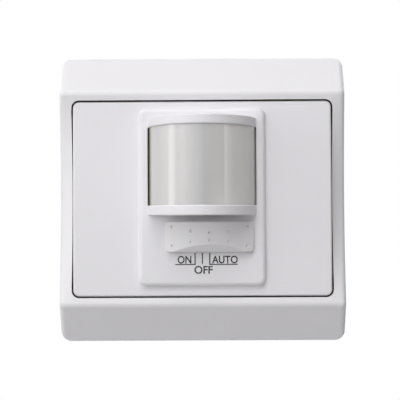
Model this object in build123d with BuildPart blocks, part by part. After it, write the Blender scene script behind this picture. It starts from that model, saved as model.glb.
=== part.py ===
from build123d import *
from math import atan, degrees, sqrt
import os

# Motion sensor light switch for a 60 mm wall box, in millimetres.
# The wall is the plane Y = 0 and the room is on its -Y side. X runs to the right and Z up, both
# as seen from the room. "Height" is measured from the wall into the room, "depth" into the box.

# Outer frame
frame_size = 80.0
frame_corner_radius = 3.0
frame_edge_height = 2.0
frame_side_inset = 0.85
frame_edge_rounding = 1.5
frame_wall = 2.0
ridge_height = 10.0
ridge_plate_margin = 2.35
side_band = 4.5
ridge_rounding = 2.0
saddle_dip = 2.75
side_extra_dip = 2.4
collar_wall = 1.5
lip_height = 5.6
lip_thickness = 1.4
lip_reach = 1.65

# Centre plate
plate_face = 9.2
plate_wall = 1.5
plate_corner_radius = 1.7
plate_edge_rounding = 0.6
plate_gap = 0.35
plate_top_margin = 2.05
plate_bottom_margin = 2.85
seat_clearance = 0.15

# Raised sensor block on the plate
block_width = 34.7
block_height = 48.6
block_top_margin = 2.8
block_bottom_margin = 9.4
block_rise = 1.5
block_corner_radius = 2.2
block_edge_rounding = 1.2

# Lens and the brow and chin around it
lens_radius = 15.0
lens_wall = 0.8
lens_axis_height = 6.4
lens_foot_reach = 0.8
lens_foot_thickness = 0.7
lens_groove_depth = 0.7
lens_clearance = 0.1
window_side_gap = 0.12
visor_overhang = 0.4
visor_rounding = 0.35
brow_height = 2.6
chin_height = 2.7

# Lens retainer
retainer_thickness = 0.8
retainer_border = 2.2
retainer_clearance = 0.05
retainer_side_clearance = 0.25

# Clip legs of the plate
clip_spacing = 20.0
clip_width = 5.0
clip_thickness = 1.0
clip_hook = 0.5
clip_hook_height = 0.8
clip_foot_height = 3.4
clip_clearance = 0.2
clip_skirt_gap = 0.05

# Mode slider
mode_pitch = 2.0
pad_width = 23.9
pad_height = 8.2
pad_chin_gap = 1.7
pad_side_thickness = 0.7
pad_bulge = 2.7
pad_foot_step = 0.9
pad_foot_slope = 1.15
pad_gap = 0.15
pad_corner_radius = 0.8
pad_edge_rounding = 0.25
dimple_radius = 0.42
dimple_pitch = 5.1
dimple_waist = 1.0
dimple_flare = 1.6
dimple_row_rise = 4.2
stem_width = 5.0
stem_thickness = 2.8
stem_foot_height = 8.2
stem_hook_reach = 0.9
stem_hook_thickness = 0.8
slot_clearance = 0.2
stem_rise = 4.0

# Slide switch
switch_width = 10.4
switch_breadth = 4.4
switch_height = 3.3
switch_sheet = 0.4
switch_base_thickness = 0.9
switch_fit = 0.05
lever_width = 2.0
lever_breadth = 1.8
lever_top_height = 9.8
lever_flange_width = 4.0
lever_flange_breadth = 2.8
lever_flange_thickness = 0.7
lever_running_gap = 0.08
lever_pocket_gap = 0.06
lever_chamfer = 0.2
wiper_breadth = 1.2
wiper_thickness = 0.25
switch_pin_count = 4
switch_pin_pitch = 2.5
switch_pin_radius = 0.35

# Front board and its tray
front_board_clearance = 0.4
front_board_corner_radius = 1.6
front_board_underside = 3.4
board_thickness = 1.2
pin_hole_clearance = 0.1
solder_length = 0.8
carrier_width = 42.0
carrier_height = 48.0
carrier_corner_radius = 2.0
carrier_wall = 1.2
carrier_top = 6.6
carrier_post_radius = 1.3
carrier_post_spacing_x = 35.0
carrier_post_spacing_z = 16.0
board_cover_thickness = 0.8
cover_hole_clearance = 0.3

# Infrared detector
spacer_radius = 4.8
spacer_height = 1.0
header_radius = 4.6
header_thickness = 0.5
can_radius = 4.15
can_height = 3.9
can_sheet = 0.3
can_window_width = 4.6
can_window_height = 3.8
filter_margin = 0.5
filter_thickness = 0.4
element_width = 5.4
element_height = 3.8
element_thickness = 0.6
detector_lead_radius = 0.23
detector_lead_circle = 2.54
detector_lead_count = 3

# Daylight sensor
light_sensor_x = 9.6
light_sensor_drop = 5.1
light_sensor_radius = 2.5
light_sensor_height = 2.4
light_sensor_dome = 0.9

# Setting trimmers
trimmer_x = 14.5
trimmer_z = -15.5
trimmer_size = 6.2
trimmer_height = 1.8
trimmer_bore_radius = 1.3
trimmer_bore_depth = 1.2
trimmer_running_gap = 0.06
trimmer_disc_radius = 2.3
trimmer_disc_thickness = 0.7
trimmer_slot_width = 0.6
trimmer_slot_depth = 0.45

# Support ring
ring_margin = 4.5
ring_thickness = 1.2
ring_corner_cut = 8.0
ring_corner_radius = 2.0
ring_opening_radius = 20.5
box_slot_margin = 5.5
box_slot_width = 4.2
box_slot_length = 7.0

# Spreading claws
claw_x = 24.0
claw_z = 9.0
claw_travel = 8.0
claw_width = 8.0
claw_sheet = 1.5
claw_arm_sheet = 1.1
claw_foot_depth = 18.5
claw_tip_gap = 1.0
claw_inner_reach = 3.1
claw_outer_reach = 3.0
claw_tip_flare = 1.6
claw_tooth_count = 3
claw_tooth_depth = 0.8
claw_thread_radius = 1.5
claw_screw_depth = 22.0
claw_head_radius = 2.8
claw_head_height = 1.6
thread_clearance = 0.06

# Rear housing
cup_radius = 26.0
cup_side_flat = 20.5
cup_bottom_flat = 22.5
cup_depth = 27.0
cup_wall = 2.0
cup_rim_wall = 1.2
power_board_depth = 2.0
power_board_thickness = 1.6
board_side_clearance = 0.25
housing_screw_offset = 16.6
housing_boss_radius = 2.4
housing_boss_depth = 8.0
housing_screw_radius = 1.1
housing_screw_hole_clearance = 0.15
housing_head_radius = 2.1
housing_head_height = 0.9
housing_screw_depth = 7.0
screw_slot_width = 0.7
screw_slot_depth = 0.6

# Link between the boards
link_z = 17.5
link_pin_count = 5
link_pin_pitch = 2.54
link_pin_radius = 0.32
link_breadth = 2.5
link_window_clearance = 0.5

# Components on the power board: width along X, height along Z, depth along Y
relay_centre = (-6.5, 8.5)
relay_size = (19.0, 15.2, 15.3)
relay_edge = 0.5
film_capacitor_centre = (10.5, 10.0)
film_capacitor_size = (12.0, 6.0, 11.0)
film_capacitor_edge = 0.6
storage_capacitor_centre = (11.2, -1.0)
storage_capacitor_radius = 4.0
storage_capacitor_length = 12.0
storage_capacitor_rounding = 0.5
storage_capacitor_groove = 0.3
storage_capacitor_groove_depth = 1.6
varistor_centre = (-6.6, -3.4)
varistor_radius = 4.5
varistor_thickness = 3.4
varistor_rounding = 1.2
fuse_centre = (-12.5, -7.4)
fuse_radius = 1.5
fuse_length = 9.0
fuse_cap_length = 1.8
fuse_body_step = 0.15
rectifier_centre = (2.6, -4.4)
rectifier_size = (7.8, 6.2, 2.6)
rectifier_edge = 0.4

# Wire terminals
terminal_count = 3
terminal_pitch = 7.5
terminal_z = -15.5
terminal_block_width = 23.2
terminal_block_height = 10.0
terminal_pocket_width = 5.8
terminal_pocket_height = 7.6
terminal_head_room = 1.6
terminal_shoulder = 1.0
cage_width = 5.2
cage_height = 6.0
cage_wall = 0.8
cage_thread_wall = 1.0
cage_opening = 4.0
cage_front_gap = 1.0
cage_travel = 2.0
cage_end_gap = 0.2
bar_width = 3.0
bar_thickness = 0.8
bar_gap = 0.2
bar_overrun = 0.7
bar_clearance = 0.1
terminal_thread_radius = 1.2
terminal_head_radius = 1.95
terminal_head_height = 1.4
terminal_head_hole_radius = 2.1
wire_hole_radius = 1.5

# Derived heights and places
frame_draft = degrees(atan(frame_side_inset / ridge_height))
plate_width = frame_size - 2 * side_band
plate_height = max(
    block_height + plate_top_margin + plate_bottom_margin,
    carrier_height + 2 * (plate_wall + clip_skirt_gap + clip_thickness + clip_clearance),
)
ridge_spacing = plate_height + 2 * ridge_plate_margin
ring_size = frame_size - 2 * ring_margin
box_screw_spacing = ring_size - 2 * box_slot_margin
box_screw_half = box_screw_spacing / 2
block_centre = plate_height / 2 - plate_top_margin - block_height / 2
pad_bottom = block_centre - block_height / 2 + block_bottom_margin
chin_bottom = pad_bottom + pad_height + pad_chin_gap
window_bottom = chin_bottom + chin_height
window_top = block_centre + block_height / 2 - block_top_margin - brow_height
window_height = window_top - window_bottom
visor_radius = lens_radius + visor_overhang
switch_centre = pad_bottom + stem_rise
slider_z = switch_centre
dimple_row_height = pad_bottom + dimple_row_rise
detector_centre = window_bottom + window_height / 2
light_sensor_z = detector_centre - light_sensor_drop
front_board_width = carrier_width - 2 * (carrier_wall + front_board_clearance)
front_board_height = carrier_height - 2 * (carrier_wall + front_board_clearance)
opening_width = plate_width + 2 * plate_gap
opening_height = plate_height + 2 * plate_gap
opening_radius = plate_corner_radius + plate_gap
skirt_foot = lip_height + seat_clearance
plate_underside = plate_face - plate_wall
block_face = plate_face + block_rise
block_underside = block_face - plate_wall
lens_half_width = sqrt(lens_radius**2 - (block_underside - lens_axis_height) ** 2)
window_width = 2 * (lens_half_width + window_side_gap)
lens_foot_front = block_underside - retainer_clearance
lens_foot_back = lens_foot_front - lens_foot_thickness
lens_height = window_height + 2 * (lens_groove_depth - lens_clearance)
lens_bottom = window_bottom - lens_groove_depth + lens_clearance
block_hollow_width = block_width - 2 * plate_wall
block_hollow_height = block_height - 2 * plate_wall
slider_x = mode_pitch
pad_back = block_face + pad_gap
pad_side_height = pad_back + pad_side_thickness
pad_radius = ((pad_width / 2) ** 2 + pad_bulge**2) / (2 * pad_bulge)
front_board_top = front_board_underside + board_thickness
switch_top = front_board_top + switch_height
lever_flange_back = switch_top - switch_sheet - lever_running_gap - lever_flange_thickness
carrier_floor_top = ring_thickness + carrier_wall
trimmer_top = front_board_top + trimmer_height
power_board_back = power_board_depth + power_board_thickness
cup_floor = cup_depth - cup_wall
terminal_xs = [(index - (terminal_count - 1) / 2) * terminal_pitch for index in range(terminal_count)]
cage_depth = cage_wall + cage_opening + cage_thread_wall
terminal_pocket_back = cup_floor - terminal_head_room - terminal_shoulder
cage_front = terminal_pocket_back - cage_end_gap - cage_travel - cage_depth
terminal_front = cage_front - cage_front_gap
terminal_block_depth = cup_floor - terminal_front
cage_thread_front = cage_front + cage_wall + cage_opening
bar_back = cage_thread_front - bar_gap
wire_depth = (cage_front + cage_wall + bar_back - bar_thickness) / 2
link_xs = [(index - (link_pin_count - 1) / 2) * link_pin_pitch for index in range(link_pin_count)]
link_width = link_pin_count * link_pin_pitch
switch_pin_xs = [(index - (switch_pin_count - 1) / 2) * switch_pin_pitch for index in range(switch_pin_count)]
housing_screw_places = [
    (housing_screw_offset, housing_screw_offset),
    (-housing_screw_offset, -housing_screw_offset),
]
claw_places = {"left": (-claw_x, -claw_z), "right": (claw_x, claw_z)}
trimmer_places = {"time": (-trimmer_x, trimmer_z), "lux": (trimmer_x, trimmer_z)}
claw_tip_depth = claw_tip_gap + claw_travel


def at_height(height):
    """Plane parallel to the wall at a height above it, seen from the room."""
    return Plane.XZ.offset(height)


def at_depth(depth):
    """Plane parallel to the wall at a depth behind it, seen from the room."""
    return Plane.XZ.offset(-depth)


def frame_section(dip, inset):
    """Upright section of the frame, sloped at both ends and dipped in the middle."""
    half = frame_size / 2
    ridge = ridge_spacing / 2
    with BuildSketch() as section:
        with BuildLine():
            Polyline((inset, half), (-frame_edge_height, half), (-ridge_height, ridge))
            ThreePointArc((-ridge_height, ridge), (dip - ridge_height, 0), (-ridge_height, -ridge))
            Polyline((-ridge_height, -ridge), (-frame_edge_height, -half), (inset, -half), (inset, half))
        make_face()
        fillet(vertices().group_by(Axis.X)[0], ridge_rounding)
        if inset > 0:
            offset(amount=-inset, kind=Kind.INTERSECTION)
    return section.sketch


def frame_block(inset):
    """Solid below the frame's front surface, drawn in by a wall thickness; its side bands lean outwards."""
    half = frame_size / 2
    inner = plate_width / 2
    outer_dip = saddle_dip + side_extra_dip
    with BuildPart() as block:
        for x, dip in ((-half, outer_dip), (-inner, saddle_dip), (inner, saddle_dip), (half, outer_dip)):
            with BuildSketch(Plane.YZ.offset(x)):
                add(frame_section(dip, inset))
        loft(ruled=True)
        with BuildSketch(at_height(0)):
            RectangleRounded(
                2 * (half - inset), 2 * (half - inset), frame_corner_radius - min(inset, frame_wall)
            )
        extrude(amount=ridge_height, taper=frame_draft, mode=Mode.INTERSECT)
    return block.part


def is_frame_rim(edge):
    """The line where the frame's sides turn into its front surface."""
    box = edge.bounding_box()
    outside = max(abs(edge.center().X), abs(edge.center().Z)) > frame_size / 2 - frame_corner_radius
    off_wall = box.min.Y < -frame_edge_height / 2
    across = box.size.Y < max(box.size.X, box.size.Z)
    return outside and off_wall and across


def cup_outline(inset):
    """Outline of the rear housing: a circle with flats at both sides and at the bottom."""
    with BuildSketch() as outline:
        Circle(cup_radius - inset)
        Rectangle(2 * (cup_side_flat - inset), 2 * cup_radius, mode=Mode.INTERSECT)
        with Locations((0, inset - cup_bottom_flat)):
            Rectangle(2 * cup_radius, 2 * cup_radius, align=(Align.CENTER, Align.MIN), mode=Mode.INTERSECT)
    return outline.sketch


def lens_ring(outer, inner, front_of):
    """Horizontal section of the lens: the part of a ring that lies in front of a height."""
    with BuildSketch() as section:
        with Locations((0, -lens_axis_height)):
            Circle(outer)
            if inner > 0:
                Circle(inner, mode=Mode.SUBTRACT)
        with Locations((0, -front_of)):
            Rectangle(2 * outer, 2 * outer, align=(Align.CENTER, Align.MIN), mode=Mode.SUBTRACT)
    return section.sketch


def pad_front_height(x):
    """Height of the slider pad's round face at a place across its width."""
    centre_height = pad_side_height + pad_bulge - pad_radius
    return centre_height + sqrt(pad_radius**2 - x**2)


os.makedirs("parts", exist_ok=True)

# Outer frame: a hollow shell with a collar and a lip that the centre plate rests on.
with BuildPart() as frame_hollow:
    add(frame_block(frame_wall))
    with BuildSketch(at_height(lip_height - lip_thickness)):
        RectangleRounded(
            opening_width + 2 * collar_wall, opening_height + 2 * collar_wall, opening_radius + collar_wall
        )
    extrude(amount=ridge_height, mode=Mode.SUBTRACT)

with BuildPart() as outer_frame:
    add(frame_block(0))
    fillet(outer_frame.edges().filter_by(is_frame_rim), frame_edge_rounding)
    add(frame_hollow.part, mode=Mode.SUBTRACT)
    with BuildSketch(at_height(lip_height)):
        RectangleRounded(opening_width, opening_height, opening_radius)
    extrude(amount=ridge_height, mode=Mode.SUBTRACT)
    with BuildSketch(at_height(0)):
        RectangleRounded(opening_width - 2 * lip_reach, opening_height - 2 * lip_reach, opening_radius)
    extrude(amount=ridge_height, mode=Mode.SUBTRACT)
outer_frame.part.label = "outer_frame"
export_step(outer_frame.part, "parts/outer_frame.step")

# Centre plate: plate with a skirt, sensor block, brow and chin in one moulding.
with BuildPart() as centre_plate:
    with BuildSketch(at_height(skirt_foot)):
        RectangleRounded(plate_width, plate_height, plate_corner_radius)
    extrude(amount=plate_face - skirt_foot)
    fillet(centre_plate.faces().sort_by(Axis.Y)[0].edges(), plate_edge_rounding)
    with BuildSketch(at_height(skirt_foot)):
        Rectangle(plate_width - 2 * plate_wall, plate_height - 2 * plate_wall)
    extrude(amount=plate_underside - skirt_foot, mode=Mode.SUBTRACT)

    # Sensor block
    with BuildSketch(at_height(plate_underside)):
        with Locations((0, block_centre)):
            RectangleRounded(block_width, block_height, block_corner_radius)
    extrude(amount=block_face - plate_underside)
    fillet(centre_plate.faces().sort_by(Axis.Y)[0].edges(), block_edge_rounding)

    # Brow and chin, round like the lens
    for visor_bottom, visor_height in ((window_top, brow_height), (chin_bottom, chin_height)):
        with BuildSketch(Plane.XY.offset(visor_bottom)):
            add(lens_ring(visor_radius, 0, block_underside))
        extrude(amount=visor_height)
    visor_edges = centre_plate.edges().filter_by(GeomType.CIRCLE)
    fillet(visor_edges.filter_by(lambda edge: edge.radius == visor_radius), visor_rounding)

    # Hollow of the block, window and the grooves that hold the ends of the lens
    with BuildSketch(at_height(plate_underside)):
        with Locations((0, block_centre)):
            Rectangle(block_hollow_width, block_hollow_height)
    extrude(amount=block_underside - plate_underside, mode=Mode.SUBTRACT)
    with BuildSketch(at_height(block_underside)):
        with Locations((0, window_bottom)):
            Rectangle(window_width, window_height, align=(Align.CENTER, Align.MIN))
    extrude(amount=visor_radius, mode=Mode.SUBTRACT)
    for groove_bottom in (window_top, window_bottom - lens_groove_depth):
        with BuildSketch(Plane.XY.offset(groove_bottom)):
            add(
                lens_ring(
                    lens_radius + lens_clearance,
                    lens_radius - lens_wall - lens_clearance,
                    block_underside,
                )
            )
        extrude(amount=lens_groove_depth, mode=Mode.SUBTRACT)

    # Slot for the stem of the slider, long enough for its three positions
    with BuildSketch(at_height(block_underside)):
        with Locations((0, switch_centre)):
            Rectangle(
                stem_width + 2 * mode_pitch + 2 * slot_clearance,
                stem_thickness + 2 * slot_clearance,
            )
    extrude(amount=plate_wall, mode=Mode.SUBTRACT)

    # Four clip legs with hooks that point inwards, into the walls of the carrier
    for side in (-1, 1):
        leg_inner = side * (carrier_height / 2 + clip_clearance)
        hollow_end = block_centre + side * block_hollow_height / 2
        leg_root = block_underside if side * (hollow_end - leg_inner) > 0 else plate_underside
        with BuildSketch(Plane.YZ.offset(-clip_width / 2)) as clip_profile:
            with BuildLine():
                Polyline(
                    (-leg_root, leg_inner),
                    (-clip_foot_height - clip_hook_height, leg_inner),
                    (-clip_foot_height - clip_hook_height, leg_inner - side * clip_hook),
                    (-clip_foot_height, leg_inner),
                    (-clip_foot_height, leg_inner + side * clip_thickness),
                    (-leg_root, leg_inner + side * clip_thickness),
                    close=True,
                )
            make_face()
        for clip_x in (-clip_spacing / 2, clip_spacing / 2):
            extrude(clip_profile.sketch.moved(Location((clip_x, 0, 0))), amount=clip_width)
centre_plate.part.label = "centre_plate"
export_step(centre_plate.part, "parts/centre_plate.step")

# Lens: a half-round shell with a foot along each straight side.
with BuildPart() as fresnel_lens:
    with BuildSketch(Plane.XY.offset(lens_bottom)):
        add(lens_ring(lens_radius, lens_radius - lens_wall, lens_foot_back))
        for side in (-1, 1):
            with Locations((side * (lens_half_width + lens_foot_reach), -lens_foot_front)):
                Rectangle(
                    lens_foot_reach + lens_wall,
                    lens_foot_thickness,
                    align=(Align.MAX if side > 0 else Align.MIN, Align.MIN),
                )
    extrude(amount=lens_height)
fresnel_lens.part.label = "fresnel_lens"
export_step(fresnel_lens.part, "parts/fresnel_lens.step")

# Lens retainer: a flat frame in the hollow of the block, under the feet of the lens.
retainer_width = block_hollow_width - 2 * retainer_side_clearance
retainer_front = lens_foot_back - retainer_clearance
with BuildPart() as lens_retainer:
    with BuildSketch(at_height(retainer_front - retainer_thickness)):
        with Locations((0, window_bottom + window_height / 2)):
            Rectangle(retainer_width, window_height + 2 * retainer_border)
            Rectangle(retainer_width - 2 * retainer_border, window_height, mode=Mode.SUBTRACT)
    extrude(amount=retainer_thickness)
lens_retainer.part.label = "lens_retainer"
export_step(lens_retainer.part, "parts/lens_retainer.step")

# Mode slider: a wide pad with a round face and a sloped foot, on a stem with snap hooks.
with BuildPart() as mode_slider:
    with BuildSketch(Plane.XY.offset(pad_bottom)):
        with BuildLine():
            Polyline(
                (slider_x + pad_width / 2, -pad_side_height),
                (slider_x + pad_width / 2, -pad_back),
                (slider_x - pad_width / 2, -pad_back),
                (slider_x - pad_width / 2, -pad_side_height),
            )
            ThreePointArc(
                (slider_x - pad_width / 2, -pad_side_height),
                (slider_x, -pad_side_height - pad_bulge),
                (slider_x + pad_width / 2, -pad_side_height),
            )
        make_face()
    extrude(amount=pad_height)
    fillet(mode_slider.edges().filter_by(Axis.Y), pad_corner_radius)

    # The foot of the pad slopes from a step above its side height to the top of its bulge
    foot_height = pad_side_height + pad_foot_step
    with BuildSketch(Plane.YZ):
        with BuildLine():
            Polyline(
                (-foot_height, pad_bottom),
                (-foot_height - pad_bulge, pad_bottom),
                (-foot_height - pad_bulge, pad_bottom + pad_foot_slope * pad_bulge),
                close=True,
            )
        make_face()
    extrude(amount=pad_width, both=True, mode=Mode.SUBTRACT)

    pad_middle = pad_back + pad_side_thickness / 2
    fillet(mode_slider.edges().filter_by(lambda edge: edge.center().Y < -pad_middle), pad_edge_rounding)

    # Two rows of dimples that draw together in the middle
    dimple_places = []
    for column in (-2, -1, 0, 1, 2):
        dimple_x = column * dimple_pitch
        row_offset = dimple_waist + dimple_flare * (column / 2) ** 2
        for row in (-1, 1):
            place_z = dimple_row_height + row * row_offset
            dimple_places.append((slider_x + dimple_x, -pad_front_height(dimple_x), place_z))
    with Locations(dimple_places):
        Sphere(dimple_radius, mode=Mode.SUBTRACT)

    # Stem with two hooks, and the pocket that takes the lever of the switch
    with BuildSketch(at_height(stem_foot_height)):
        with Locations((slider_x, slider_z)):
            Rectangle(stem_width, stem_thickness)
    extrude(amount=pad_back - stem_foot_height)
    with BuildSketch(at_height(stem_foot_height)):
        with Locations((slider_x, slider_z)):
            Rectangle(stem_width, stem_thickness + 2 * stem_hook_reach)
    extrude(amount=stem_hook_thickness)
    with BuildSketch(at_height(stem_foot_height)):
        with Locations((slider_x, slider_z)):
            Rectangle(lever_width + 2 * lever_pocket_gap, lever_breadth + 2 * lever_pocket_gap)
    extrude(amount=lever_top_height + lever_running_gap - stem_foot_height, mode=Mode.SUBTRACT)
mode_slider.part.label = "mode_slider"
export_step(mode_slider.part, "parts/mode_slider.step")

# Slide switch: metal case, base with contact pins, lever with its flange and the sliding contact.
with BuildPart() as switch_case:
    with BuildSketch(at_height(front_board_top)):
        with Locations((0, switch_centre)):
            Rectangle(switch_width, switch_breadth)
    extrude(amount=switch_height)
    with BuildSketch(at_height(front_board_top)):
        with Locations((0, switch_centre)):
            Rectangle(switch_width - 2 * switch_sheet, switch_breadth - 2 * switch_sheet)
    extrude(amount=switch_height - switch_sheet, mode=Mode.SUBTRACT)
    with BuildSketch(at_height(front_board_top)):
        with Locations((0, switch_centre)):
            Rectangle(
                lever_width + 2 * mode_pitch + 2 * lever_running_gap, lever_breadth + 2 * lever_running_gap
            )
    extrude(amount=switch_height, mode=Mode.SUBTRACT)
switch_case.part.label = "switch_case"
export_step(switch_case.part, "parts/switch_case.step")

switch_pin_places = [(pin_x, switch_centre) for pin_x in switch_pin_xs]
with BuildPart() as switch_base:
    with BuildSketch(at_height(front_board_top)):
        with Locations((0, switch_centre)):
            Rectangle(
                switch_width - 2 * (switch_sheet + switch_fit),
                switch_breadth - 2 * (switch_sheet + switch_fit),
            )
        with Locations(switch_pin_places):
            Circle(switch_pin_radius + switch_fit, mode=Mode.SUBTRACT)
    extrude(amount=switch_base_thickness)
switch_base.part.label = "switch_base"
export_step(switch_base.part, "parts/switch_base.step")

with BuildPart() as switch_pins:
    with BuildSketch(at_height(front_board_underside - solder_length)):
        with Locations(switch_pin_places):
            Circle(switch_pin_radius)
    extrude(amount=board_thickness + solder_length + switch_base_thickness)
switch_pins.part.label = "switch_pins"
export_step(switch_pins.part, "parts/switch_pins.step")

with BuildPart() as switch_lever:
    with BuildSketch(at_height(lever_flange_back)):
        with Locations((slider_x, slider_z)):
            Rectangle(lever_flange_width, lever_flange_breadth)
    extrude(amount=lever_flange_thickness)
    with BuildSketch(at_height(lever_flange_back)):
        with Locations((slider_x, slider_z)):
            Rectangle(lever_width, lever_breadth)
    extrude(amount=lever_top_height - lever_flange_back)
    chamfer(switch_lever.faces().sort_by(Axis.Y)[0].edges(), lever_chamfer)
switch_lever.part.label = "switch_lever"
export_step(switch_lever.part, "parts/switch_lever.step")

wiper_foot = front_board_top + switch_base_thickness + lever_running_gap + wiper_thickness / 2
wiper_top = lever_flange_back - wiper_thickness / 2
with BuildPart() as switch_wiper:
    with BuildSketch(Plane.XY.offset(switch_centre - wiper_breadth / 2)):
        with BuildLine() as wiper_path:
            Polyline(
                (slider_x - lever_flange_width / 2, -wiper_foot),
                (slider_x - lever_width / 2, -wiper_top),
                (slider_x + lever_width / 2, -wiper_top),
                (slider_x + lever_flange_width / 2, -wiper_foot),
            )
        trace(wiper_path.line, wiper_thickness)
    extrude(amount=wiper_breadth)
switch_wiper.part.label = "switch_wiper"
export_step(switch_wiper.part, "parts/switch_wiper.step")

# Infrared detector: spacer, header with three leads, sensing element, can and filter window.
detector_place = (0, detector_centre)
with BuildSketch() as detector_lead_layout:
    with Locations(detector_place):
        with PolarLocations(detector_lead_circle, detector_lead_count):
            Circle(detector_lead_radius)
with BuildSketch() as detector_lead_holes:
    offset(detector_lead_layout.sketch, amount=pin_hole_clearance)

with BuildPart() as pir_spacer:
    with BuildSketch(at_height(front_board_top)):
        with Locations(detector_place):
            Circle(spacer_radius)
        add(detector_lead_holes.sketch, mode=Mode.SUBTRACT)
    extrude(amount=spacer_height)
pir_spacer.part.label = "pir_spacer"
export_step(pir_spacer.part, "parts/pir_spacer.step")

with BuildPart() as pir_header:
    with BuildSketch(at_height(front_board_top + spacer_height)):
        with Locations(detector_place):
            Circle(header_radius)
    extrude(amount=header_thickness)
pir_header.part.label = "pir_header"
export_step(pir_header.part, "parts/pir_header.step")

with BuildPart() as pir_leads:
    with BuildSketch(at_height(front_board_underside - solder_length)):
        add(detector_lead_layout.sketch)
    extrude(amount=solder_length + board_thickness + spacer_height)
pir_leads.part.label = "pir_leads"
export_step(pir_leads.part, "parts/pir_leads.step")

can_foot = front_board_top + spacer_height + header_thickness
with BuildPart() as pir_element:
    with BuildSketch(at_height(can_foot)):
        with Locations(detector_place):
            Rectangle(element_width, element_height)
    extrude(amount=element_thickness)
pir_element.part.label = "pir_element"
export_step(pir_element.part, "parts/pir_element.step")

with BuildPart() as pir_can:
    with BuildSketch(at_height(can_foot)):
        with Locations(detector_place):
            Circle(can_radius)
    extrude(amount=can_height)
    fillet(pir_can.faces().sort_by(Axis.Y)[0].edges(), can_sheet)
    with BuildSketch(at_height(can_foot)):
        with Locations(detector_place):
            Circle(can_radius - can_sheet)
    extrude(amount=can_height - can_sheet, mode=Mode.SUBTRACT)
    with BuildSketch(at_height(can_foot)):
        with Locations(detector_place):
            Rectangle(can_window_width, can_window_height)
    extrude(amount=can_height, mode=Mode.SUBTRACT)
pir_can.part.label = "pir_can"
export_step(pir_can.part, "parts/pir_can.step")

with BuildPart() as pir_window:
    with BuildSketch(at_height(can_foot + can_height - can_sheet - filter_thickness)):
        with Locations(detector_place):
            Rectangle(can_window_width + 2 * filter_margin, can_window_height + 2 * filter_margin)
    extrude(amount=filter_thickness)
pir_window.part.label = "pir_window"
export_step(pir_window.part, "parts/pir_window.step")

# Daylight sensor: a round body with a low dome.
with BuildPart() as light_sensor:
    with BuildSketch(at_height(front_board_top)):
        with Locations((light_sensor_x, light_sensor_z)):
            Circle(light_sensor_radius)
    extrude(amount=light_sensor_height)
    fillet(light_sensor.faces().sort_by(Axis.Y)[0].edges(), light_sensor_dome)
light_sensor.part.label = "light_sensor"
export_step(light_sensor.part, "parts/light_sensor.step")

# Two setting trimmers, each a square base with a rotor that has a cross slot.
for trimmer_name, trimmer_place in trimmer_places.items():
    with BuildPart() as trimmer_base:
        with BuildSketch(at_height(front_board_top)):
            with Locations(trimmer_place):
                Rectangle(trimmer_size, trimmer_size)
        extrude(amount=trimmer_height)
        with BuildSketch(at_height(trimmer_top)):
            with Locations(trimmer_place):
                Circle(trimmer_bore_radius)
        extrude(amount=-trimmer_bore_depth, mode=Mode.SUBTRACT)
    trimmer_base.part.label = f"{trimmer_name}_trimmer_base"
    export_step(trimmer_base.part, f"parts/{trimmer_name}_trimmer_base.step")

    disc_foot = trimmer_top + trimmer_running_gap
    disc_top = disc_foot + trimmer_disc_thickness
    with BuildPart() as trimmer_rotor:
        with BuildSketch(at_height(trimmer_top + trimmer_running_gap - trimmer_bore_depth)):
            with Locations(trimmer_place):
                Circle(trimmer_bore_radius - trimmer_running_gap)
        extrude(amount=trimmer_bore_depth)
        with BuildSketch(at_height(disc_foot)):
            with Locations(trimmer_place):
                Circle(trimmer_disc_radius)
        extrude(amount=trimmer_disc_thickness)
        with BuildSketch(at_height(disc_top)):
            with Locations(trimmer_place):
                Rectangle(2 * trimmer_bore_radius, trimmer_slot_width)
                Rectangle(trimmer_slot_width, 2 * trimmer_bore_radius)
                with Locations((0, trimmer_bore_radius)):
                    Triangle(a=2 * trimmer_slot_width, b=2 * trimmer_slot_width, c=2 * trimmer_slot_width)
        extrude(amount=-trimmer_slot_depth, mode=Mode.SUBTRACT)
    trimmer_rotor.part.label = f"{trimmer_name}_trimmer_rotor"
    export_step(trimmer_rotor.part, f"parts/{trimmer_name}_trimmer_rotor.step")

# Front circuit board, notched where the housing screws are reached.
with BuildPart() as sensor_board:
    with BuildSketch(at_height(front_board_underside)):
        RectangleRounded(front_board_width, front_board_height, front_board_corner_radius)
        with Locations(housing_screw_places):
            Circle(housing_head_radius + cover_hole_clearance, mode=Mode.SUBTRACT)
        with Locations(switch_pin_places):
            Circle(switch_pin_radius + pin_hole_clearance, mode=Mode.SUBTRACT)
        with Locations([(link_x, link_z) for link_x in link_xs]):
            Circle(link_pin_radius + pin_hole_clearance, mode=Mode.SUBTRACT)
        add(detector_lead_holes.sketch, mode=Mode.SUBTRACT)
    extrude(amount=board_thickness)
sensor_board.part.label = "sensor_board"
export_step(sensor_board.part, "parts/sensor_board.step")

# Insulating cover over the front board, open for what looks or reaches through it.
with BuildPart() as board_cover:
    with BuildSketch(at_height(carrier_top)):
        RectangleRounded(carrier_width, carrier_height, carrier_corner_radius)
        with Locations(detector_place):
            Circle(spacer_radius + cover_hole_clearance, mode=Mode.SUBTRACT)
        with Locations((light_sensor_x, light_sensor_z)):
            Circle(light_sensor_radius + cover_hole_clearance, mode=Mode.SUBTRACT)
        with Locations((0, switch_centre)):
            Rectangle(
                switch_width + 2 * cover_hole_clearance,
                switch_breadth + 2 * cover_hole_clearance,
                mode=Mode.SUBTRACT,
            )
        with Locations(list(trimmer_places.values())):
            Circle(trimmer_disc_radius + cover_hole_clearance, mode=Mode.SUBTRACT)
    extrude(amount=board_cover_thickness)
board_cover.part.label = "board_cover"
export_step(board_cover.part, "parts/board_cover.step")

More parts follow.
